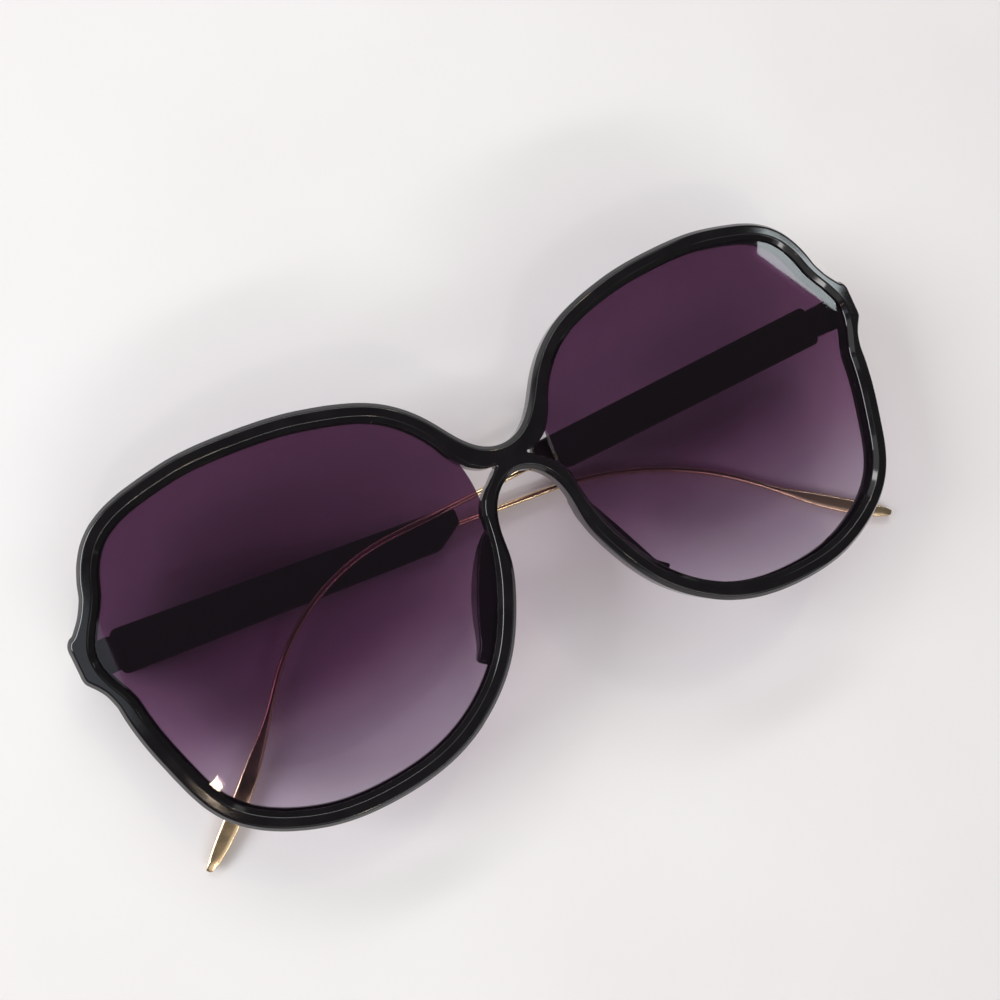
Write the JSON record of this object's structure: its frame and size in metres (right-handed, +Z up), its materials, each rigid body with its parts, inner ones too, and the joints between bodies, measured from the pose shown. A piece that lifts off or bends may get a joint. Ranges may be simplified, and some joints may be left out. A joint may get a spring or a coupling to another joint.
{
  "type": "sunglasses",
  "caption": "Oversized sunglasses with rounded tinted lenses, a glossy rim with an open X bridge, banded hinge ends and thin wire temples that fold behind the front.",
  "frame": {"origin": "centre of the folded glasses' footprint, on the surface that they lie on", "axes": "+X along the front to the right of someone who looks at the lenses, +Y towards the brow, +Z up, out of the lenses"},
  "size_m": [0.1478, 0.065, 0.0233],
  "materials": {
    "black_frame": "polished black moulding",
    "tinted_lens": "see-through gradient tint, darker at the brow",
    "nose_pad": "smooth black",
    "hinge_steel": "plain steel",
    "hinge_screw": "plain steel",
    "black_band": "polished black",
    "gold_wire": "polished pale gold"
  },
  "bodies": {
    "front": {"front_frame": "black_frame", "left_lens": "tinted_lens", "right_lens": "tinted_lens", "left_nose_pad": "nose_pad", "right_nose_pad": "nose_pad", "left_front_hinge_leaf": "hinge_steel", "right_front_hinge_leaf": "hinge_steel", "left_hinge_screw": "hinge_screw", "right_hinge_screw": "hinge_screw"},
    "left_temple": {"left_temple_hinge_leaf": "hinge_steel", "left_temple_band": "black_band", "left_temple_wire": "gold_wire"},
    "right_temple": {"right_temple_hinge_leaf": "hinge_steel", "right_temple_band": "black_band", "right_temple_wire": "gold_wire"}
  },
  "joints": [
    {"name": "left_temple_hinge", "type": "hinge", "parent": "front", "child": "left_temple", "pos_m": [-0.07035, 0.00924, 0.003], "axis": [0, 1, 0], "range_deg": [0, 88]},
    {"name": "right_temple_hinge", "type": "hinge", "parent": "front", "child": "right_temple", "pos_m": [0.06936, 0.00924, 0.01211], "axis": [0, -1, 0], "range_deg": [0, 92]}
  ]
}
